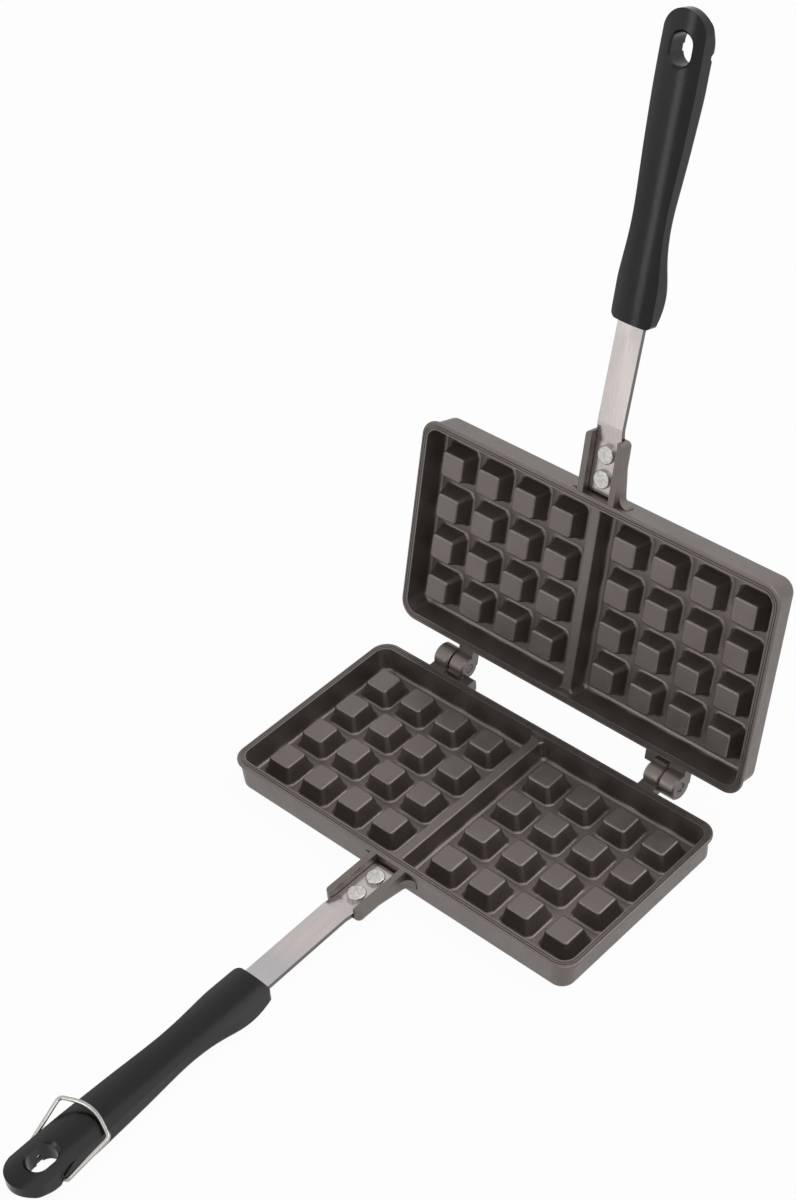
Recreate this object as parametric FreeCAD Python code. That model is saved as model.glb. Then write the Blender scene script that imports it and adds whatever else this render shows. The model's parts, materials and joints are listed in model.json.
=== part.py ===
import FreeCAD, Part
import math
import os

# Stovetop waffle iron: two identical aluminium trays hinged along one long side,
# each with a strip-steel tang and a moulded handle, held shut by a wire bail.
# Millimetres. X runs along the hinge, Y from the handles to the hinge, Z up.
# The origin is the middle of the lower tray's flat underside.
# Shapes of one casting are drawn with the rim at height zero and the outside downwards.

V = FreeCAD.Vector
AXIS_X = V(1, 0, 0)
AXIS_Y = V(0, 1, 0)
AXIS_Z = V(0, 0, 1)

# Tray
tray_length = 204.6
tray_depth = 106.6
tray_height = 16.0
tray_corner = 9.0
rim_thickness = 1.7
rim_overhang = 0.6
end_rim_overhang = 2.1
rim_edge_round = 0.6
wall_draft = 0.9
underside_round = 2.5

# Cells, rib and the waffle studs
end_rim = 3.5
side_rim = 4.1
cell_depth = 11.6
cell_draft = 1.9
cell_corner = 6.0
rib_corner = 3.2
cell_foot_round = 2.0
rib_width = 5.2
rib_below_rim = 2.4
rib_edge_round = 0.8
rib_end_step = 0.6
stud_count = 4
stud_pitch = 22.0
stud_top = 12.3
stud_foot = 17.2
stud_below_rim = 2.6
stud_top_corner = 1.7
stud_foot_corner = 2.8
stud_edge_round = 1.0
stud_foot_round = 1.3
stud_shift = 0.6

# Fine grooves that run round the rim, measured outwards from the inner edge
groove_depth = 0.45
inner_groove_start = 0.95
inner_groove_width = 0.35
outer_groove_start = 2.0
outer_groove_width = 0.4

# Handle socket cast on the front wall
socket_length = 31.0
socket_wall = 3.2
socket_floor = 2.2
socket_top_drop = 0.4
socket_end_round = 2.6
socket_under_round = 3.0
socket_web = 5.0
socket_web_drop = 2.4
gusset_reach = 18.0
gusset_drop = 3.2
gusset_overlap = 4.0
rivet_recess_clearance = 0.5

# Tang, a strip of stainless steel that steps up out of the socket and sinks towards the handle
tang_width = 13.8
tang_thickness = 2.3
tang_below_rim = 4.5
tang_step_rise = 1.8
tang_step_length = 9.0
tang_step_inside_socket = 4.7
tang_sink = 1.3
tang_bend_radius = 8.0
tang_in_handle = 56.0
tang_side_clearance = 0.25
tang_end_clearance = 1.0
tang_corner = 1.5

# Rivets
rivet_diameter = 4.4
rivet_head_diameter = 8.8
rivet_head_height = 1.9
rivet_head_round = 0.7
rivet_tail_diameter = 7.4
rivet_tail_height = 1.3
rivet_pitch = 12.1
rivet_from_end = 7.4

# How far each tang and handle is bent outwards at the socket, in degrees
lower_lean = 0.0
upper_lean = 1.8

# Hinge
hinge_offset = 9.3
closing_gap = 0.3
opening_angle = 105.0
knuckle_radius = 6.5
inner_knuckle_radius = 5.9
knuckle_from_end = 47.3
knuckle_width = 8.7
knuckle_side_gap = 0.4
knuckle_edge_round = 0.8
knuckle_arm_top = 0.8
hinge_lug_width = 5.2
hinge_lug_reach = 7.4
hinge_lug_top = 2.2
hinge_lug_height = 7.0
hinge_lug_round = 1.6
hinge_web_gap = 1.2
hinge_web_bottom = 11.0
heel_reach = 5.0
heel_gap = 0.15
pin_diameter = 4.4
pin_running_clearance = 0.06
pin_recess = 0.5
pin_chamfer = 0.4
pin_hole_chamfer = 0.5

# Handles
handle_length = 135.8
handle_start_from_rim = 83.2
handle_width = 21.9
handle_side_height = 8.9
handle_below_rim = 3.4
handle_crown = 1.2
handle_back_crown = 1.5
handle_back_corner = 2.4
handle_end_corner = 3.0
handle_tip_radius = 10.8
pocket_clearance = 0.1

# Places along the handle, as shares of its length, its width and its side height
handle_station_shares = (
    (0.000, 0.955, 0.60),
    (0.035, 0.990, 0.82),
    (0.075, 1.000, 0.97),
    (0.135, 0.985, 0.96),
    (0.205, 0.905, 0.78),
    (0.285, 0.815, 0.69),
    (0.360, 0.790, 0.71),
    (0.440, 0.825, 0.78),
    (0.545, 0.895, 0.86),
    (0.655, 0.950, 0.93),
    (0.760, 0.985, 0.99),
    (0.860, 0.985, 1.01),
    (0.905, 0.975, 1.03),
    (0.935, 0.970, 0.86),
    (0.960, 0.967, 0.66),
    (0.982, 0.963, 0.45),
    (1.000, 0.960, 0.28),
)

# Hanging slot, bail holes and bail notch near the tip
slot_width = 10.4
slot_length = 14.0
slot_lip = 1.1
slot_from_tip = 16.8
bail_pivot_from_tip = 18.2
bail_pivot_below_face = 5.4
bail_hole_clearance = 0.06
notch_width = 3.4
notch_depth = 4.2

# Wire bail
wire_diameter = 1.9
bail_foot_width = 24.4
bail_shoulder_width = 30.8
bail_crown_slope = 22.0
bail_corner = 2.6
bail_foot_bend = 1.5
bail_crown_radius = 24.0
bail_foot_inset = 0.4
bail_latch_slack = 2.7
bail_rest_angle = 21.2

# Handle screw, driven from the back of the handle into the tang
screw_diameter = 4.0
screw_head_diameter = 7.0
screw_head_height = 2.2
screw_seat_depth = 3.6
screw_from_handle_end = 12.0
screw_hole_clearance = 0.15
screw_slot_width = 1.0
screw_slot_depth = 1.1

# Cuts run past the faces that they open by this much
overrun = 3.0

# Places worked out from the sizes above
half_length = tray_length / 2
half_depth = tray_depth / 2
hinge_y = half_depth + hinge_offset
hinge_z = closing_gap / 2
cell_end = half_length - end_rim
cell_side = half_depth - side_rim
rib_draft = cell_draft * rib_below_rim / cell_depth
cell_rib = rib_width / 2 - rib_draft
cell_middle = (cell_rib + cell_end) / 2 + stud_shift
wall_half_length = half_length - end_rim_overhang
wall_half_depth = half_depth - rim_overhang
tang_top = -tang_below_rim
tang_bottom = tang_top - tang_thickness
tang_end = -(half_depth + tang_end_clearance + rim_overhang / 2)
tang_handle_top = tang_top + tang_step_rise - tang_sink
tang_handle_bottom = tang_handle_top - tang_thickness
socket_half = tang_width / 2 + tang_side_clearance + socket_wall
socket_bottom = tang_bottom - socket_floor
socket_end = -(wall_half_depth + socket_length)
gusset_start = -(wall_half_depth + gusset_reach)
step_start = socket_end + tang_step_inside_socket
lean_y = step_start - tang_step_length
lean_z = tang_top + tang_step_rise
first_rivet = tang_end - rivet_from_end
handle_start = -(half_depth + handle_start_from_rim)
handle_tip = handle_start - handle_length
handle_face_middle = -handle_below_rim + handle_crown
handle_crown_radius = ((handle_width / 2) ** 2 + handle_crown ** 2) / (2 * handle_crown)
slot_middle = handle_tip + slot_from_tip
bail_y = handle_tip + bail_pivot_from_tip
bail_z = -handle_below_rim - bail_pivot_below_face
notch_z = notch_depth - handle_below_rim - handle_side_height - handle_back_crown
bail_crown_turn = math.radians(bail_crown_slope)
bail_crown_excess = bail_crown_radius * (1 / math.cos(bail_crown_turn) - 1)
bail_bow = bail_shoulder_width / 2 * math.tan(bail_crown_turn) - bail_crown_excess
knuckle_inner_start = half_length - knuckle_from_end
knuckle_middle = knuckle_inner_start + knuckle_width + knuckle_side_gap / 2
knuckle_outer_end = knuckle_middle + knuckle_side_gap / 2 + knuckle_width
lug_outer_side = knuckle_inner_start - knuckle_side_gap
web_face = hinge_y - knuckle_radius - hinge_web_gap


def rounded_outline(x0, x1, y0, y1, z, radii):
    """A rectangle whose four corners, from (x0, y0) round by (x1, y0), have their own radii."""
    corners = ((x0, y0, 1, 1), (x1, y0, -1, 1), (x1, y1, -1, -1), (x0, y1, 1, -1))
    starts, middles, ends = [], [], []
    inset = 1 - math.sqrt(2) / 2
    for place, ((x, y, sx, sy), r) in enumerate(zip(corners, radii)):
        along_x = V(x + sx * r, y, z)
        along_y = V(x, y + sy * r, z)
        turn = V(x + sx * r * inset, y + sy * r * inset, z)
        first, last = (along_y, along_x) if place % 2 == 0 else (along_x, along_y)
        starts.append(first)
        middles.append(turn)
        ends.append(last)
    edges = []
    for place in range(4):
        edges.append(Part.Arc(starts[place], middles[place], ends[place]).toShape())
        edges.append(Part.makeLine(ends[place], starts[(place + 1) % 4]))
    return Part.Wire(edges)


def centred_outline(half_x, half_y, z, radius):
    return rounded_outline(-half_x, half_x, -half_y, half_y, z, (radius,) * 4)


def loft(*wires):
    return Part.makeLoft(list(wires), True, True)


def prism(wire, height):
    return Part.Face(wire).extrude(V(0, 0, height))


def box(x0, x1, y0, y1, z0, z1):
    return Part.makeBox(x1 - x0, y1 - y0, z1 - z0, V(x0, y0, z0))


def edges_at_height(shape, z, tolerance_share=1e-6):
    tolerance = tray_length * tolerance_share
    return [e for e in shape.Edges if abs(e.BoundBox.ZMin - z) < tolerance and abs(e.BoundBox.ZMax - z) < tolerance]


def rod(x0, x1, radius, y, z):
    return Part.makeCylinder(radius, x1 - x0, V(x0, y, z), AXIS_X)


def tray_shell():
    """Rim flange on a drafted wall, closed underneath, before the cells are sunk."""
    rim = prism(centred_outline(half_length, half_depth, -rim_thickness, tray_corner), rim_thickness)
    rim_edges = edges_at_height(rim, 0) + edges_at_height(rim, -rim_thickness)
    rim = rim.makeFillet(rim_edge_round, rim_edges)
    wall_corner = tray_corner - (rim_overhang + end_rim_overhang) / 2
    top = centred_outline(wall_half_length, wall_half_depth, -rim_thickness / 2, wall_corner)
    foot = centred_outline(
        wall_half_length - wall_draft, wall_half_depth - wall_draft, -tray_height, wall_corner - wall_draft
    )
    wall = loft(top, foot)
    wall = wall.makeFillet(underside_round, edges_at_height(wall, -tray_height))
    return rim.fuse(wall)


def stud(x, y):
    half_top = stud_top / 2
    half_foot = stud_foot / 2
    top = rounded_outline(
        x - half_top, x + half_top, y - half_top, y + half_top, -stud_below_rim, (stud_top_corner,) * 4
    )
    foot = rounded_outline(
        x - half_foot, x + half_foot, y - half_foot, y + half_foot, -cell_depth, (stud_foot_corner,) * 4
    )
    block = loft(foot, top)
    return block.makeFillet(stud_edge_round, edges_at_height(block, -stud_below_rim))


def cell_space():
    """The hollow of the right-hand cell, with its studs left standing."""
    mouth_corners = (rib_corner, cell_corner, cell_corner, rib_corner)
    foot_corners = [r - cell_draft / 2 for r in mouth_corners]
    mouth = rounded_outline(cell_rib, cell_end, -cell_side, cell_side, 0, mouth_corners)
    foot = rounded_outline(
        cell_rib + cell_draft, cell_end - cell_draft, cell_draft - cell_side, cell_side - cell_draft,
        -cell_depth, foot_corners,
    )
    space = loft(mouth, foot)
    space = space.makeFillet(cell_foot_round, edges_at_height(space, -cell_depth))
    first = -stud_pitch * (stud_count - 1) / 2
    places = [first + stud_pitch * count for count in range(stud_count)]
    space = space.cut([stud(cell_middle + along, across) for along in places for across in places])
    reach = stud_pitch * (stud_count - 1) / 2 + stud_foot / 2
    foot_edges = [
        e for e in edges_at_height(space, -cell_depth)
        if abs(e.CenterOfMass.x - cell_middle) < reach + stud_foot_round
        and abs(e.CenterOfMass.y) < reach + stud_foot_round
    ]
    return space.makeFillet(stud_foot_round, foot_edges)


def rib_space():
    """The low passage over the rib that joins the two cells."""
    half_x = cell_rib + rib_corner
    half_y = cell_side - rib_draft - rib_end_step
    return box(-half_x, half_x, -half_y, half_y, -rib_below_rim, 0)


def rim_groove(start, width):
    outer = start + width
    outside = prism(
        centred_outline(cell_end + outer, cell_side + outer, -groove_depth, cell_corner + outer), groove_depth
    )
    inside = prism(
        centred_outline(cell_end + start, cell_side + start, -groove_depth, cell_corner + start), groove_depth
    )
    return outside.cut(inside)


def handle_socket():
    """Open channel on the front wall that holds the tang, deeper at the wall, with a web on each side."""
    back = -(half_depth - rim_overhang - side_rim / 2)
    corners = (socket_end_round, socket_end_round, socket_wall / 2, socket_wall / 2)
    outline = rounded_outline(-socket_half, socket_half, socket_end, back, socket_bottom, corners)
    block = prism(outline, -socket_top_drop - socket_bottom)
    under = [e for e in edges_at_height(block, socket_bottom) if e.CenterOfMass.y < back]
    block = block.makeFillet(socket_under_round, under)
    slope = gusset_drop / gusset_reach
    near_y = gusset_start - gusset_overlap
    corners = [
        V(-socket_half, near_y, -socket_top_drop),
        V(-socket_half, back, -socket_top_drop),
        V(-socket_half, back, socket_bottom - slope * (back - gusset_start)),
        V(-socket_half, near_y, socket_bottom + slope * gusset_overlap),
    ]
    gusset = Part.Face(Part.makePolygon(corners + corners[:1])).extrude(V(2 * socket_half, 0, 0))
    under = [e for e in gusset.Edges if e.BoundBox.YLength > gusset_reach and e.BoundBox.ZMax < socket_bottom / 2]
    block = block.fuse(gusset.makeFillet(socket_under_round, under))
    web_bottom = socket_bottom - gusset_drop + socket_under_round
    web_top = -rim_thickness - socket_web_drop
    for side in (-1, 1):
        x0 = side * (socket_half - socket_wall / 2)
        x1 = side * socket_half
        x2 = side * (socket_half + socket_web)
        wall_y = -(wall_half_depth - wall_draft)
        out_y = -(wall_half_depth + socket_web)
        turn = 1 - math.sqrt(2) / 2
        edges = [
            Part.makeLine(V(x0, wall_y, web_top), V(x2, wall_y, web_top)),
            Part.makeLine(V(x2, wall_y, web_top), V(x2, -wall_half_depth, web_top)),
            Part.Arc(
                V(x2, -wall_half_depth, web_top),
                V(x1 + side * socket_web * turn, -(wall_half_depth + socket_web * turn), web_top),
                V(x1, out_y, web_top),
            ).toShape(),
            Part.makeLine(V(x1, out_y, web_top), V(x0, out_y, web_top)),
            Part.makeLine(V(x0, out_y, web_top), V(x0, wall_y, web_top)),
        ]
        block = block.fuse(prism(Part.Wire(edges), web_bottom - web_top))
    return block


def tang_channel():
    half = tang_width / 2 + tang_side_clearance
    return box(-half, half, socket_end - overrun, tang_end + tang_end_clearance, tang_bottom, overrun)


def rivet_holes():
    holes = []
    for place in (first_rivet, first_rivet - rivet_pitch):
        holes.append(Part.makeCylinder(rivet_diameter / 2, -socket_bottom, V(0, place, socket_bottom)))
        recess_radius = rivet_tail_diameter / 2 + rivet_recess_clearance
        recess_low = socket_bottom - gusset_drop - overrun
        holes.append(Part.makeCylinder(recess_radius, gusset_drop + overrun, V(0, place, recess_low)))
    return holes


def knuckle(x0, x1, radius):
    barrel = rod(x0, x1, radius, hinge_y, hinge_z)
    barrel = barrel.makeChamfer(knuckle_edge_round, [e for e in barrel.Edges if e.Curve.TypeId == "Part::GeomCircle"])
    arm = box(x0, x1, wall_half_depth - wall_draft - rim_thickness, hinge_y, hinge_z - radius, -knuckle_arm_top)
    return barrel.fuse(arm)


def inner_knuckle():
    """Runs between the mate's outer knuckle and lug; its heel meets the mate's web when open."""
    block = knuckle(knuckle_inner_start, knuckle_middle - knuckle_side_gap / 2, inner_knuckle_radius)
    reach = hinge_y - web_face - heel_gap
    turn = math.radians(opening_angle)
    normal = V(0, -math.cos(turn), math.sin(turn))
    along = V(0, math.sin(turn), math.cos(turn))
    middle = V(knuckle_inner_start + knuckle_edge_round, hinge_y, hinge_z)
    corners = [middle, middle + along * heel_reach]
    corners += [middle + along * heel_reach + normal * reach, middle + normal * reach]
    heel = Part.Face(Part.makePolygon(corners + [middle]))
    return block.fuse(heel.extrude(V(knuckle_width - 2 * knuckle_edge_round, 0, 0)))


def hinge_side():
    """Outer knuckle, web and lug on the left of a casting, inner knuckle on the right."""
    outer = knuckle(-knuckle_outer_end, -(knuckle_middle + knuckle_side_gap / 2), knuckle_radius)
    wall_y = wall_half_depth - wall_draft - rim_thickness
    lug_x0 = -(lug_outer_side)
    lug = box(
        lug_x0, lug_x0 + hinge_lug_width, wall_y, half_depth + hinge_lug_reach,
        -hinge_lug_top - hinge_lug_height, -hinge_lug_top,
    )
    lug_tip = [e for e in lug.Edges if e.BoundBox.YMin > half_depth and e.BoundBox.XLength > hinge_lug_width / 2]
    lug = lug.makeFillet(hinge_lug_round, lug_tip)
    web = box(-knuckle_outer_end, lug_x0 + hinge_lug_width, wall_y, web_face, -hinge_web_bottom, -hinge_lug_top)
    return outer.fuse([lug, web, inner_knuckle()])


def pin_hole(x0, x1, radius):
    return rod(x0, x1, radius, hinge_y, hinge_z)


def casting():
    body = tray_shell().fuse([handle_socket(), hinge_side()])
    right = cell_space()
    left = right.mirror(V(0, 0, 0), AXIS_X)
    cuts = [right, left, rib_space(), tang_channel()]
    cuts += [rim_groove(inner_groove_start, inner_groove_width), rim_groove(outer_groove_start, outer_groove_width)]
    cuts += rivet_holes()
    fixed_end = -knuckle_outer_end
    cuts.append(pin_hole(fixed_end - overrun, -knuckle_middle, pin_diameter / 2))
    cuts.append(pin_hole(knuckle_inner_start - overrun, knuckle_middle, pin_diameter / 2 + pin_running_clearance))
    mouth = Part.makeCone(
        pin_diameter / 2 + pin_hole_chamfer, pin_diameter / 2, pin_hole_chamfer,
        V(fixed_end, hinge_y, hinge_z), AXIS_X,
    )
    cuts.append(mouth)
    body = body.cut(cuts)
    rib_edges = [
        e for e in edges_at_height(body, -rib_below_rim)
        if e.BoundBox.YLength > rib_edge_round and abs(e.CenterOfMass.x) < cell_rib + rib_corner
    ]
    return body.makeFillet(rib_edge_round, rib_edges)


def hinge_pin():
    length = knuckle_outer_end - knuckle_inner_start - pin_recess
    start = pin_recess - knuckle_outer_end
    pin = rod(start, start + length, pin_diameter / 2, hinge_y, hinge_z)
    return pin.makeChamfer(pin_chamfer, [e for e in pin.Edges if e.Curve.TypeId == "Part::GeomCircle"])


def leaned(y, z, lean):
    """A place in the handle's frame after the outward bend at the socket."""
    turn = math.radians(lean)
    away = y - lean_y
    up = z - lean_z
    new_y = lean_y + away * math.cos(turn) - up * math.sin(turn)
    new_z = lean_z + away * math.sin(turn) + up * math.cos(turn)
    return V(0, new_y, new_z)


def bent_path(points, radii):
    """Straight runs between the points, joined by tangent arcs at the inner ones."""
    edges = []
    start = points[0]
    for before, corner, after, radius in zip(points, points[1:], points[2:], radii):
        back = (before - corner).normalize()
        ahead = (after - corner).normalize()
        half_angle = back.getAngle(ahead) / 2
        setback = radius / math.tan(half_angle)
        towards = (back + ahead).normalize()
        centre = corner + towards * (radius / math.sin(half_angle))
        first = corner + back * setback
        last = corner + ahead * setback
        edges.append(Part.makeLine(start, first))
        edges.append(Part.Arc(first, centre - towards * radius, last).toShape())
        start = last
    edges.append(Part.makeLine(start, points[-1]))
    return edges


def underside(points, thickness):
    """The points of a strip's top, moved to its underside and mitred at each bend."""
    moved = []
    for place, point in enumerate(points):
        before = points[max(place - 1, 0)]
        after = points[min(place + 1, len(points) - 1)]
        runs = [run for run in (point - before, after - point) if run.Length > 0]
        normals = [AXIS_X.cross(run.normalize()) for run in runs]
        middle = normals[0] + normals[-1]
        moved.append(point + middle * (2 * thickness / middle.dot(middle)))
    return moved


def tang(lean):
    half = tang_width / 2
    far_end = handle_start - tang_in_handle
    top = [V(0, tang_end, tang_top), V(0, step_start, tang_top), V(0, lean_y, lean_z)]
    top += [leaned(handle_start, tang_handle_top, lean), leaned(far_end, tang_handle_top, lean)]
    low = underside(top, tang_thickness)
    low.reverse()
    radii = (tang_bend_radius,) * (len(top) - 2)
    edges = bent_path(top, radii) + [Part.makeLine(top[-1], low[0])]
    edges += bent_path(low, radii) + [Part.makeLine(low[-1], top[0])]
    strip = Part.Face(Part.Wire(edges)).extrude(V(tang_width, 0, 0))
    strip.translate(V(-half, 0, 0))
    ends = [
        e for e in strip.Edges
        if e.BoundBox.XLength < tang_corner and abs(e.Length - tang_thickness) < tang_side_clearance
        and (e.CenterOfMass.y > tang_end - tang_corner or e.CenterOfMass.y < far_end + tang_corner)
    ]
    strip = strip.makeFillet(tang_corner, ends)
    holes = []
    for place in (first_rivet, first_rivet - rivet_pitch):
        holes.append(Part.makeCylinder(rivet_diameter / 2, tang_thickness, V(0, place, tang_bottom)))
    screw_y = handle_start - screw_from_handle_end
    screw_hole = Part.makeCylinder(screw_diameter / 2, tang_thickness, V(0, screw_y, tang_handle_bottom))
    holes.append(lean_out(screw_hole, lean))
    return strip.cut(holes)


def lean_out(shape, lean):
    shape.rotate(V(0, lean_y, lean_z), AXIS_X, lean)
    return shape


def rivet(place):
    shank = Part.makeCylinder(rivet_diameter / 2, tang_top - socket_bottom, V(0, place, socket_bottom))
    head = Part.makeCylinder(rivet_head_diameter / 2, rivet_head_height, V(0, place, tang_top))
    head = head.makeFillet(rivet_head_round, edges_at_height(head, tang_top + rivet_head_height))
    tail_z = socket_bottom - rivet_tail_height
    tail = Part.makeCylinder(rivet_tail_diameter / 2, rivet_tail_height, V(0, place, tail_z))
    tail = tail.makeFillet(rivet_head_round, edges_at_height(tail, tail_z))
    return shank.fuse([head, tail])


def handle_section(length_share, width_share, height_share):
    """Cross-section of the handle: crowned face, flat sides, rounded and crowned back."""
    y = handle_start - handle_length * length_share
    half = handle_width * width_share / 2
    side = handle_side_height * height_share
    drop = handle_crown_radius - math.sqrt(handle_crown_radius ** 2 - half ** 2)
    edge_z = handle_face_middle - drop
    back_z = -handle_below_rim - side
    inset = handle_back_corner * (1 - math.sqrt(2) / 2)
    corner_x = half - handle_back_corner
    right = V(half, y, edge_z)
    left = V(-half, y, edge_z)
    right_low = V(half, y, back_z + handle_back_corner)
    left_low = V(-half, y, back_z + handle_back_corner)
    right_back = V(corner_x, y, back_z)
    left_back = V(-corner_x, y, back_z)
    edges = [
        Part.Arc(left, V(0, y, handle_face_middle), right).toShape(),
        Part.makeLine(right, right_low),
        Part.Arc(right_low, V(half - inset, y, back_z + inset), right_back).toShape(),
        Part.Arc(right_back, V(0, y, back_z - handle_back_crown), left_back).toShape(),
        Part.Arc(left_back, V(inset - half, y, back_z + inset), left_low).toShape(),
        Part.makeLine(left_low, left),
    ]
    return Part.Wire(edges)


def handle_plan():
    """Plan of the handle with its round tip and rounded plate end, wider than its waist."""
    half = handle_width / 2
    z = -handle_below_rim - handle_side_height - overrun
    tip_turn = handle_tip + handle_tip_radius
    r = handle_end_corner
    inset = r * (1 - math.sqrt(2) / 2)
    edges = [
        Part.Arc(
            V(-handle_tip_radius, tip_turn, z), V(0, handle_tip, z), V(handle_tip_radius, tip_turn, z)
        ).toShape(),
        Part.makeLine(V(handle_tip_radius, tip_turn, z), V(handle_tip_radius, handle_start - r, z)),
        Part.Arc(
            V(handle_tip_radius, handle_start - r, z),
            V(handle_tip_radius - inset, handle_start - inset, z),
            V(handle_tip_radius - r, handle_start, z),
        ).toShape(),
        Part.makeLine(V(handle_tip_radius - r, handle_start, z), V(r - handle_tip_radius, handle_start, z)),
        Part.Arc(
            V(r - handle_tip_radius, handle_start, z),
            V(inset - handle_tip_radius, handle_start - inset, z),
            V(-handle_tip_radius, handle_start - r, z),
        ).toShape(),
        Part.makeLine(V(-handle_tip_radius, handle_start - r, z), V(-handle_tip_radius, tip_turn, z)),
    ]
    return prism(Part.Wire(edges), handle_below_rim + handle_side_height + 2 * overrun + half)


def hanging_slot():
    """Oval hole through the handle, with a sloping lip on both faces."""
    low = -handle_below_rim - handle_side_height - handle_back_crown
    high = handle_face_middle
    def oval(z, grow):
        half_x = slot_width / 2 + grow
        half_y = slot_length / 2 + grow
        radius = half_x * oval_share
        return rounded_outline(-half_x, half_x, slot_middle - half_y, slot_middle + half_y, z, (radius,) * 4)
    oval_share = 0.98
    hole = prism(oval(low - overrun, 0), high - low + 2 * overrun)
    face_lip = loft(oval(high - slot_lip, 0), oval(high + slot_lip, 2 * slot_lip))
    back_lip = loft(oval(low + slot_lip, 0), oval(low - slot_lip, 2 * slot_lip))
    return hole.fuse([face_lip, back_lip])


def handle():
    body = Part.makeLoft([handle_section(*row) for row in handle_station_shares], True, False)
    body = body.common(handle_plan())
    pocket_half = tang_width / 2 + tang_side_clearance
    pocket = box(
        -pocket_half, pocket_half, handle_start - tang_in_handle - tang_side_clearance, handle_start + overrun,
        tang_handle_bottom - pocket_clearance, tang_handle_top + pocket_clearance,
    )
    screw_y = handle_start - screw_from_handle_end
    seat_z = tang_handle_bottom - screw_seat_depth
    low = -handle_below_rim - handle_side_height - handle_back_crown - overrun
    cuts = [pocket, hanging_slot()]
    screw_radius = screw_diameter / 2 + screw_hole_clearance
    cuts.append(Part.makeCylinder(screw_radius, tang_handle_bottom - seat_z, V(0, screw_y, seat_z)))
    head_hole = Part.makeCylinder(screw_head_diameter / 2 + screw_hole_clearance, seat_z - low, V(0, screw_y, low))
    cuts.append(head_hole)
    notch_middle = notch_z - notch_width / 2
    cuts.append(rod(-handle_width, handle_width, notch_width / 2, bail_y, notch_middle))
    notch_side = notch_width / 2
    cuts.append(box(-handle_width, handle_width, bail_y - notch_side, bail_y + notch_side, low, notch_middle))
    return body.cut(cuts)


def bail_holes():
    return rod(-handle_width, handle_width, wire_diameter / 2 + bail_hole_clearance, bail_y, bail_z)


def handle_screw():
    screw_y = handle_start - screw_from_handle_end
    seat_z = tang_handle_bottom - screw_seat_depth
    shank = Part.makeCylinder(screw_diameter / 2, tang_handle_top - seat_z, V(0, screw_y, seat_z))
    head = Part.makeCylinder(screw_head_diameter / 2, screw_head_height, V(0, screw_y, seat_z - screw_head_height))
    screw = shank.fuse(head)
    half = screw_head_diameter / 2
    low = seat_z - screw_head_height
    narrow = screw_slot_width / 2
    high = low + screw_slot_depth
    across = box(-half, half, screw_y - narrow, screw_y + narrow, low, high)
    along = box(-narrow, narrow, screw_y - half, screw_y + half, low, high)
    return screw.cut([across.common(head), along.common(head)])


def bail():
    """Bent wire, drawn lying along +Y from its pivot, then raised to its rest angle."""
    wire_in_notch = leaned(bail_y, notch_z - wire_diameter / 2 - bail_latch_slack, upper_lean)
    bail_length = math.hypot(wire_in_notch.y - bail_y, 2 * hinge_z - wire_in_notch.z - bail_z)
    foot_x = bail_foot_width / 2
    shoulder_x = bail_shoulder_width / 2
    inner_x = slot_width / 2 + bail_foot_inset
    crown_y = bail_length + bail_crown_excess
    half = [(inner_x, 0), (foot_x, 0), (shoulder_x, bail_length - bail_bow)]
    outline = half + [(0, crown_y)] + [(-x, y) for x, y in reversed(half)]
    points = [V(x, bail_y + y, bail_z) for x, y in outline]
    radii = (bail_foot_bend, bail_corner, bail_crown_radius, bail_corner, bail_foot_bend)
    path = Part.Wire(bent_path(points, radii))
    section = Part.Wire(Part.makeCircle(wire_diameter / 2, points[0], AXIS_X))
    wire = path.makePipeShell([section], True, False)
    wire.rotate(V(0, bail_y, bail_z), AXIS_X, bail_rest_angle)
    return wire


def lower(shape):
    shape.translate(V(0, 0, tray_height))
    return shape


def upper(shape):
    """Turned over onto the lower half, then swung open about the hinge."""
    shape.rotate(V(0, 0, hinge_z), AXIS_Y, 180)
    shape.rotate(V(0, hinge_y, hinge_z), AXIS_X, -opening_angle)
    return lower(shape)


def build():
    os.makedirs("parts", exist_ok=True)
    pieces = {
        "plate": casting(),
        "hinge_pin": hinge_pin(),
        "front_rivet": rivet(first_rivet - rivet_pitch),
        "rear_rivet": rivet(first_rivet),
    }
    grip = handle()
    screw = handle_screw()
    for half, place, lean in (("lower", lower, lower_lean), ("upper", upper, upper_lean)):
        pieces["tang"] = tang(lean)
        pieces["handle"] = lean_out(grip.cut(bail_holes()) if half == "lower" else grip.copy(), lean)
        pieces["handle_screw"] = lean_out(screw.copy(), lean)
        for piece, shape in pieces.items():
            node = half + "_" + piece
            placed = place(shape.copy())
            placed.exportStep("parts/" + node + ".step")
            print(node, len(placed.Solids), placed.isValid(), round(placed.Volume))
    wire = lower(bail())
    wire.exportStep("parts/latch_bail.step")
    print("latch_bail", len(wire.Solids), wire.isValid(), round(wire.Volume))
    print("hinge axis", hinge_y, hinge_z + tray_height)
    print("bail pivot", bail_y, bail_z + tray_height)


build()
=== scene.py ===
import json
import math

import bmesh
import bpy
from mathutils import Matrix, Vector


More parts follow.
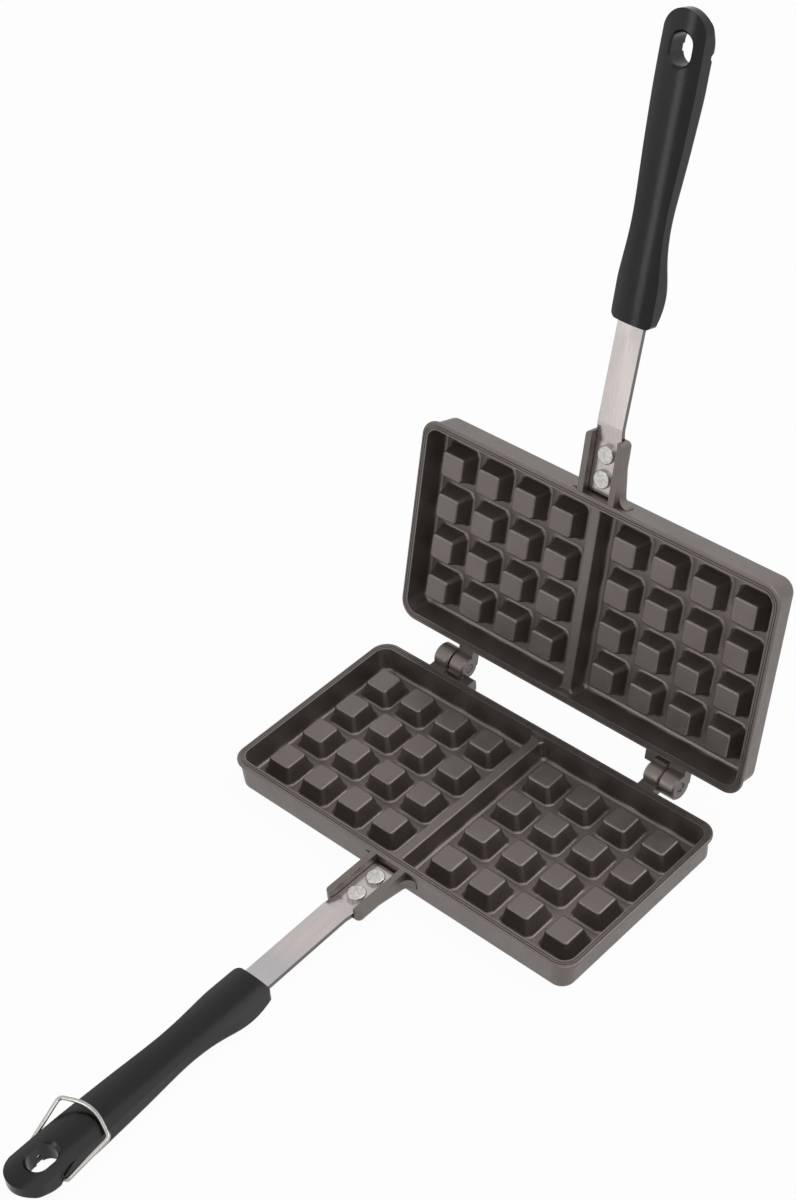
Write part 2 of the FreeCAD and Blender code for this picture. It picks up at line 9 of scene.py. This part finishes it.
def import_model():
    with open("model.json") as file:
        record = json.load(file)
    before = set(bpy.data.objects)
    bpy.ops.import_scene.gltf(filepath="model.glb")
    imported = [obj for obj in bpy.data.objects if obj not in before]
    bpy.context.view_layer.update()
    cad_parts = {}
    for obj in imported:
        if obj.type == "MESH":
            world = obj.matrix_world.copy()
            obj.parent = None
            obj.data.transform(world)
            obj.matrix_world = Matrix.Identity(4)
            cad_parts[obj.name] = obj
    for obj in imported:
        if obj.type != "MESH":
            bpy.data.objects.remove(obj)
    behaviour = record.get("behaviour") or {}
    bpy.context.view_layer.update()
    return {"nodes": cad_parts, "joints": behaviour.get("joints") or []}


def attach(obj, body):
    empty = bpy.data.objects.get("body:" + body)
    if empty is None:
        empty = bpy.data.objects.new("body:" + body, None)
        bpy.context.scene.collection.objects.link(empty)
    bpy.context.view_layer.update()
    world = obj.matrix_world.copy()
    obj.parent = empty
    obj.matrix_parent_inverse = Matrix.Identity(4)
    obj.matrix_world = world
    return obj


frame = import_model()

NODES = frame["nodes"]

# Places are in metres throughout, in the CAD model's frame
JOINT_PLACES = {joint["name"]: Vector(joint["pos_m"]) for joint in frame["joints"]}
HINGE = JOINT_PLACES["closing_hinge"]
BAIL_PIVOT = JOINT_PLACES["bail_pivot"]
OPEN_TILT = math.radians(-105.0)
RIM_HEIGHT = 0.016
STUD_PITCH = 0.022
HANDLE_HALF_WIDTH = 0.011

# The upper handle's outward bend, and the place on the strip where it starts
UPPER_LEAN = math.radians(1.8)
LEAN_PLACE = Vector((0, -0.088, 0.0133))

# Hanging slot, as it lies in the lower handle: an oval with straight sides and round ends
SLOT_HALF_WIDTH = 0.0052
SLOT_HALF_LENGTH = 0.007
SLOT_END_RADIUS = 0.0051
SLOT_MIDDLE = -0.2555

# Where the bail notch opens into the slot's wall
NOTCH_HALF_WIDTH = 0.0017
NOTCH_TOP = 0.0064
LATCHED_WIRE_TOP = 0.0043

# The webs that close that opening: how far they reach into the slot, into the wall and past the notch
WEB_INWARD = 0.00003
WEB_OUTWARD = 0.00035
WEB_PAST_NOTCH = 0.0003
WEB_STEPS = 8

# The fitted camera: its turn as a rotation vector, and its shift in stud pitches from the rim's height
CAMERA_TURN = Vector((2.1776, 0.8158, -0.4688))
CAMERA_SHIFT = Vector((1.4545, 3.9853, 47.5976))
CAMERA_LENS = 69.16
CAMERA_SENSOR = 36.0
CAMERA_REACH = (0.05, 100.0)

WHITE = (1, 1, 1, 1)
FLOOR_GREY = (0.86, 0.86, 0.86, 1)
FLOOR_HALF = 30.0
FLOOR_GLOW_SHARE = 0.955
WORLD_FILL = 0.22

# Name, place, aim, width and height, watts
LAMPS = (
    ("key", (1.1, 0.2, 1.7), (0, 0, 0.05), (3.4, 3.4), 30),
    ("fill", (-1.3, -1.0, 0.9), (0, 0, 0.1), (2.2, 1.6), 4.2),
    ("strip", (-0.55, -1.45, 0.42), (0, 0.12, 0.24), (0.4, 0.8), 2.4),
    ("back", (0.3, 1.1, 1.5), (0, 0, 0.1), (1.5, 1.2), 7.5),
)


def srgb(r, g, b):
    """A colour given in 0-255 screen values, as linear RGBA."""
    def lin(c):
        c = c / 255
        return c / 12.92 if c <= 0.04045 else ((c + 0.055) / 1.055) ** 2.4
    return (lin(r), lin(g), lin(b), 1.0)


class Mat:
    """A procedural material: a Principled shader, with helpers that add nodes to it."""

    def __init__(self, name, **values):
        self.mat = bpy.data.materials.new(name)
        self.mat.use_nodes = True
        self.nodes = self.mat.node_tree.nodes
        self.links = self.mat.node_tree.links
        self.bsdf = self.nodes["Principled BSDF"]
        for key, value in values.items():
            self.bsdf.inputs[key].default_value = value
        self.coords = self.nodes.new("ShaderNodeTexCoord").outputs["Object"]

    def scaled(self, scale, turn):
        """Object coordinates, turned about X and then stretched."""
        node = self.nodes.new("ShaderNodeMapping")
        node.inputs["Rotation"].default_value = (turn, 0, 0)
        self.links.new(self.coords, node.inputs["Vector"])
        stretch = self.nodes.new("ShaderNodeVectorMath")
        stretch.operation = "MULTIPLY"
        stretch.inputs[1].default_value = scale
        self.links.new(node.outputs["Vector"], stretch.inputs[0])
        return stretch.outputs["Vector"]

    def noise(self, scale, detail, rough=0.5, turn=0.0):
        """Noise with its scale along X, Y and Z in cells to the metre."""
        node = self.nodes.new("ShaderNodeTexNoise")
        node.inputs["Scale"].default_value = 1.0
        node.inputs["Detail"].default_value = detail
        node.inputs["Roughness"].default_value = rough
        self.links.new(self.scaled(scale, turn), node.inputs["Vector"])
        return node.outputs["Fac"]

    def ramp(self, source, between=(0.3, 0.7), to=(0, 1)):
        """The source's range between two values, spread over another range and clamped."""
        node = self.nodes.new("ShaderNodeMapRange")
        node.inputs["From Min"].default_value = between[0]
        node.inputs["From Max"].default_value = between[1]
        node.inputs["To Min"].default_value = to[0]
        node.inputs["To Max"].default_value = to[1]
        self.links.new(source, node.inputs["Value"])
        return node.outputs["Result"]

    def mix(self, factor, a, b):
        """Colour a where the factor is 0, colour b where it is 1. Each is a colour or an output."""
        node = self.nodes.new("ShaderNodeMix")
        node.data_type = "RGBA"
        self.links.new(factor, node.inputs["Factor"])
        for socket, value in (("A", a), ("B", b)):
            target = [i for i in node.inputs if i.name == socket and i.type == "RGBA"][0]
            if isinstance(value, tuple):
                target.default_value = value
            else:
                self.links.new(value, target)
        return [o for o in node.outputs if o.type == "RGBA"][0]

    def put(self, source, socket):
        """Links an output to a socket of the shader."""
        self.links.new(source, self.bsdf.inputs[socket])

    def sideways(self, source):
        """The X part of a vector output."""
        parts = self.nodes.new("ShaderNodeSeparateXYZ")
        self.links.new(source, parts.inputs[0])
        return parts.outputs["X"]

    def across(self, half_width):
        """Falls from 0 on the middle plane to -1 at half_width on either side of it, as a parabola."""
        x = self.sideways(self.coords)
        square = self.nodes.new("ShaderNodeMath")
        square.operation = "MULTIPLY"
        self.links.new(x, square.inputs[0])
        self.links.new(x, square.inputs[1])
        fall = self.nodes.new("ShaderNodeMath")
        fall.operation = "MULTIPLY"
        fall.inputs[1].default_value = -1 / half_width ** 2
        self.links.new(square.outputs[0], fall.inputs[0])
        return fall.outputs[0]

    def facing_x(self):
        """1 on faces that look along X either way, 0 on the others."""
        shape = self.nodes.new("ShaderNodeNewGeometry")
        size = self.nodes.new("ShaderNodeMath")
        size.operation = "ABSOLUTE"
        self.links.new(self.sideways(shape.outputs["Normal"]), size.inputs[0])
        return self.ramp(size.outputs[0], between=(0.5, 0.9))

    def bump(self, source, strength, distance, after=None):
        """Bumps the shader's normal by the source, on top of an earlier bump where one is given."""
        node = self.nodes.new("ShaderNodeBump")
        node.inputs["Strength"].default_value = strength
        node.inputs["Distance"].default_value = distance
        self.links.new(source, node.inputs["Height"])
        if after is not None:
            self.links.new(after, node.inputs["Normal"])
        self.put(node.outputs["Normal"], "Normal")
        return node.outputs["Normal"]


def coating():
    """Pearl-grey non-stick coating: fine metal flecks in a warm dark grey, with a soft sheen."""
    m = Mat("nonstick_coating", Metallic=0.7)
    dark = srgb(106, 99, 95)
    pale = srgb(114, 107, 103)
    fleck = srgb(142, 134, 130)
    base = m.mix(m.ramp(m.noise((38, 38, 38), 3)), dark, pale)
    flecks = m.ramp(m.noise((2600, 2600, 2600), 1), between=(0.62, 0.8), to=(0, 0.5))
    m.put(m.mix(flecks, base, fleck), "Base Color")
    m.put(m.ramp(m.noise((160, 160, 160), 3), to=(0.33, 0.42)), "Roughness")
    grain = m.bump(m.noise((1300, 1300, 1300), 2), 0.12, 0.0002)
    m.bump(m.noise((220, 220, 220), 2), 0.06, 0.0004, grain)
    return m.mat


def brushed(name, turn):
    """Stainless strip, brushed along its length: a painted reflection in cloudy patches of cooler grey
    here and there, dull sheared edges.
    """
    m = Mat(name, Metallic=1.0, Anisotropic=0.4)
    dark = srgb(184, 176, 174)
    pale = srgb(194, 186, 184)
    # Painted reflection: a cooler grey that stands in for the reflection where the strip bends
    painted_reflection_grey = srgb(168, 169, 174)
    edge = srgb(104, 100, 98)
    lines = m.noise((7000, 60, 7000), 2, 0.6, turn)
    bands = m.ramp(m.noise((2600, 14, 2600), 2, 0.5, turn))
    # Painted reflection: cloudy patches where the face turns to the cooler grey
    painted_reflection_cloud = m.ramp(m.noise((20, 26, 20), 1), between=(0.5, 0.72), to=(0, 0.6))
    face = m.mix(painted_reflection_cloud, m.mix(bands, dark, pale), painted_reflection_grey)
    m.put(m.mix(m.facing_x(), face, edge), "Base Color")
    m.put(m.ramp(lines, between=(0.25, 0.75), to=(0.19, 0.24)), "Roughness")
    m.bump(lines, 0.02, 0.0001)
    return m.mat


def aluminium():
    """Rivet heads: matte aluminium, lightly mottled and pitted."""
    m = Mat("rivet_aluminium", Metallic=0.9)
    dark = srgb(176, 172, 170)
    pale = srgb(204, 201, 199)
    spots = m.noise((700, 700, 700), 3)
    m.put(m.mix(m.ramp(spots, between=(0.35, 0.65)), dark, pale), "Base Color")
    m.put(m.ramp(m.noise((1500, 1500, 1500), 2), to=(0.34, 0.5)), "Roughness")
    m.bump(spots, 0.15, 0.0002)
    return m.mat


def bakelite():
    """Black phenolic moulding: glossy, a very faint flow pattern, crowned faces and fine orange peel."""
    m = Mat("bakelite", **{"Specular IOR Level": 0.27})
    dark = srgb(12, 11, 12)
    pale = srgb(18, 17, 18)
    m.put(m.mix(m.ramp(m.noise((60, 14, 60), 3)), dark, pale), "Base Color")
    m.put(m.ramp(m.noise((420, 90, 420), 3), to=(0.18, 0.25)), "Roughness")
    crown = m.bump(m.across(HANDLE_HALF_WIDTH), 1.0, 0.0013)
    m.bump(m.noise((900, 900, 900), 2), 0.05, 0.0002, crown)
    return m.mat


def bail_wire():
    """Bright steel wire with a fine grain."""
    m = Mat("bail_wire", Metallic=1.0)
    dark = srgb(152, 149, 146)
    pale = srgb(184, 181, 178)
    grain = m.noise((1400, 1400, 1400), 2)
    m.put(m.mix(m.ramp(grain), dark, pale), "Base Color")
    m.put(m.ramp(m.noise((300, 300, 300), 3), to=(0.14, 0.24)), "Roughness")
    m.bump(grain, 0.05, 0.0001)
    return m.mat


def pin_steel():
    """Hinge pins and handle screws: steel, darker and duller than the wire."""
    m = Mat("pin_steel", Metallic=1.0)
    dark = srgb(88, 84, 82)
    pale = srgb(108, 104, 101)
    grain = m.noise((900, 900, 900), 3)
    m.put(m.mix(m.ramp(grain), dark, pale), "Base Color")
    m.put(m.ramp(m.noise((500, 500, 500), 3), to=(0.28, 0.42)), "Roughness")
    m.bump(grain, 0.1, 0.0001)
    return m.mat


def dress(node, material):
    """Gives a CAD node one material all over."""
    mesh = NODES[node].data
    mesh.materials.clear()
    mesh.materials.append(material)
    mesh.polygons.foreach_set("material_index", [0] * len(mesh.polygons))


COAT = coating()
RIVET = aluminium()
BLACK = bakelite()
WIRE = bail_wire()
PIN = pin_steel()

# The upper strip's brushing follows it at the open tilt
for half, turn in (("lower", 0.0), ("upper", -OPEN_TILT)):
    dress(half + "_plate", COAT)
    dress(half + "_tang", brushed(half + "_stainless", turn))
    dress(half + "_handle", BLACK)
    dress(half + "_hinge_pin", PIN)
    dress(half + "_handle_screw", PIN)
    dress(half + "_front_rivet", RIVET)
    dress(half + "_rear_rivet", RIVET)
dress("latch_bail", WIRE)


def turned(angle, axis, place):
    """A turn about an axis through a place."""
    return Matrix.Translation(place) @ Matrix.Rotation(angle, 4, axis) @ Matrix.Translation(-place)


def slot_wall(y):
    """Half the hanging slot's width at a place along it."""
    past_straight = max(0, abs(y - SLOT_MIDDLE) - (SLOT_HALF_LENGTH - SLOT_END_RADIUS))
    return SLOT_HALF_WIDTH - SLOT_END_RADIUS + math.sqrt(SLOT_END_RADIUS ** 2 - past_straight ** 2)


def web_corners(y, side):
    """Cross-section of a web at a place along the slot, as X and Z pairs in order round it."""
    near = side * (slot_wall(y) - WEB_INWARD)
    far = side * (slot_wall(y) + WEB_OUTWARD)
    return ((near, NOTCH_TOP), (far, NOTCH_TOP), (far, LATCHED_WIRE_TOP), (near, LATCHED_WIRE_TOP))


def slot_lining(half, place):
    """Two thin webs that carry the hanging slot's wall past the bail notch, one on each side."""
    reach = NOTCH_HALF_WIDTH + WEB_PAST_NOTCH
    stations = [BAIL_PIVOT.y + reach * (2 * i / WEB_STEPS - 1) for i in range(WEB_STEPS + 1)]
    shape = bmesh.new()
    for side in (-1, 1):
        rings = []
        for y in stations:
            corners = web_corners(y, side)
            rings.append([shape.verts.new(place @ Vector((x, y, z))) for x, z in corners])
        for a, b in zip(rings, rings[1:]):
            for i in range(len(a)):
                shape.faces.new((a[i], a[i - 1], b[i - 1], b[i]))
        shape.faces.new(rings[0])
        shape.faces.new(rings[-1][::-1])
    bmesh.ops.recalc_face_normals(shape, faces=shape.faces)
    mesh = bpy.data.meshes.new(half + "_slot_lining")
    shape.to_mesh(mesh)
    shape.free()
    mesh.materials.append(BLACK)
    lining = bpy.data.objects.new(mesh.name, mesh)
    bpy.context.scene.collection.objects.link(lining)
    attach(lining, half + "_half")


slot_lining("lower", Matrix.Identity(4))
upright = turned(UPPER_LEAN, "X", LEAN_PLACE)
slot_lining("upper", turned(OPEN_TILT, "X", HINGE) @ turned(math.pi, "Y", HINGE) @ upright)


def camera():
    """The photograph's camera, from the fit of its corners, studs and handles."""
    to_world = Matrix.Rotation(CAMERA_TURN.length, 3, CAMERA_TURN.normalized()).transposed()
    place = -(to_world @ CAMERA_SHIFT) * STUD_PITCH + Vector((0, 0, RIM_HEIGHT))
    flip = Matrix(((1, 0, 0), (0, -1, 0), (0, 0, -1)))
    data = bpy.data.cameras.new("camera")
    data.lens = CAMERA_LENS
    data.sensor_width = CAMERA_SENSOR
    data.clip_start, data.clip_end = CAMERA_REACH
    cam = bpy.data.objects.new("camera", data)
    bpy.context.scene.collection.objects.link(cam)
    cam.matrix_world = Matrix.Translation(place) @ (to_world @ flip).to_4x4()
    bpy.context.scene.camera = cam


def light(name, place, aim, size, power):
    """A rectangular area lamp that looks at its aim."""
    data = bpy.data.lights.new(name, "AREA")
    data.shape = "RECTANGLE"
    data.size, data.size_y = size
    data.energy = power
    lamp = bpy.data.objects.new(name, data)
    lamp.location = place
    lamp.rotation_euler = (Vector(aim) - Vector(place)).to_track_quat("-Z", "Y").to_euler()
    bpy.context.scene.collection.objects.link(lamp)


def larger(tree, a, b):
    """The larger of two outputs."""
    node = tree.nodes.new("ShaderNodeMath")
    node.operation = "MAXIMUM"
    tree.links.new(a, node.inputs[0])
    tree.links.new(b, node.inputs[1])
    return node.outputs[0]


def floor_material():
    """Near white for camera and gloss rays, with a small share of lit grey that keeps the shadow."""
    m = bpy.data.materials.new("floor")
    m.use_nodes = True
    nodes, links = m.node_tree.nodes, m.node_tree.links
    nodes.remove(nodes["Principled BSDF"])
    diffuse = nodes.new("ShaderNodeBsdfDiffuse")
    diffuse.inputs["Color"].default_value = FLOOR_GREY
    glow = nodes.new("ShaderNodeEmission")
    glow.inputs["Color"].default_value = WHITE
    glow.inputs["Strength"].default_value = 1.0
    path = nodes.new("ShaderNodeLightPath")
    seen = larger(m.node_tree, path.outputs["Is Camera Ray"], path.outputs["Is Glossy Ray"])
    share = nodes.new("ShaderNodeMath")
    share.operation = "MULTIPLY"
    share.inputs[1].default_value = FLOOR_GLOW_SHARE
    mix = nodes.new("ShaderNodeMixShader")
    links.new(seen, share.inputs[0])
    links.new(share.outputs[0], mix.inputs["Fac"])
    links.new(diffuse.outputs[0], mix.inputs[1])
    links.new(glow.outputs[0], mix.inputs[2])
    links.new(mix.outputs[0], nodes["Material Output"].inputs["Surface"])
    return m


def floor():
    """A pale floor, wide enough that its corners stay out of sight."""
    mesh = bpy.data.meshes.new("floor")
    corners = [(x * FLOOR_HALF, y * FLOOR_HALF, 0) for x, y in ((-1, -1), (1, -1), (1, 1), (-1, 1))]
    mesh.from_pydata(corners, [], [(0, 1, 2, 3)])
    obj = bpy.data.objects.new("floor", mesh)
    bpy.context.scene.collection.objects.link(obj)
    mesh.materials.append(floor_material())


def world():
    """White for camera, gloss and see-through rays, and a dim even fill for the rest."""
    w = bpy.data.worlds.new("studio")
    bpy.context.scene.world = w
    w.use_nodes = True
    tree = w.node_tree
    back = tree.nodes["Background"]
    back.inputs["Color"].default_value = WHITE
    path = tree.nodes.new("ShaderNodeLightPath")
    seen = larger(tree, path.outputs["Is Camera Ray"], path.outputs["Is Transmission Ray"])
    seen = larger(tree, seen, path.outputs["Is Glossy Ray"])
    level = tree.nodes.new("ShaderNodeMapRange")
    level.inputs["To Min"].default_value = WORLD_FILL
    level.inputs["To Max"].default_value = 1.0
    tree.links.new(seen, level.inputs["Value"])
    tree.links.new(level.outputs["Result"], back.inputs["Strength"])


camera()
floor()
world()
for lamp in LAMPS:
    light(*lamp)
bpy.context.scene.view_settings.view_transform = "Standard"
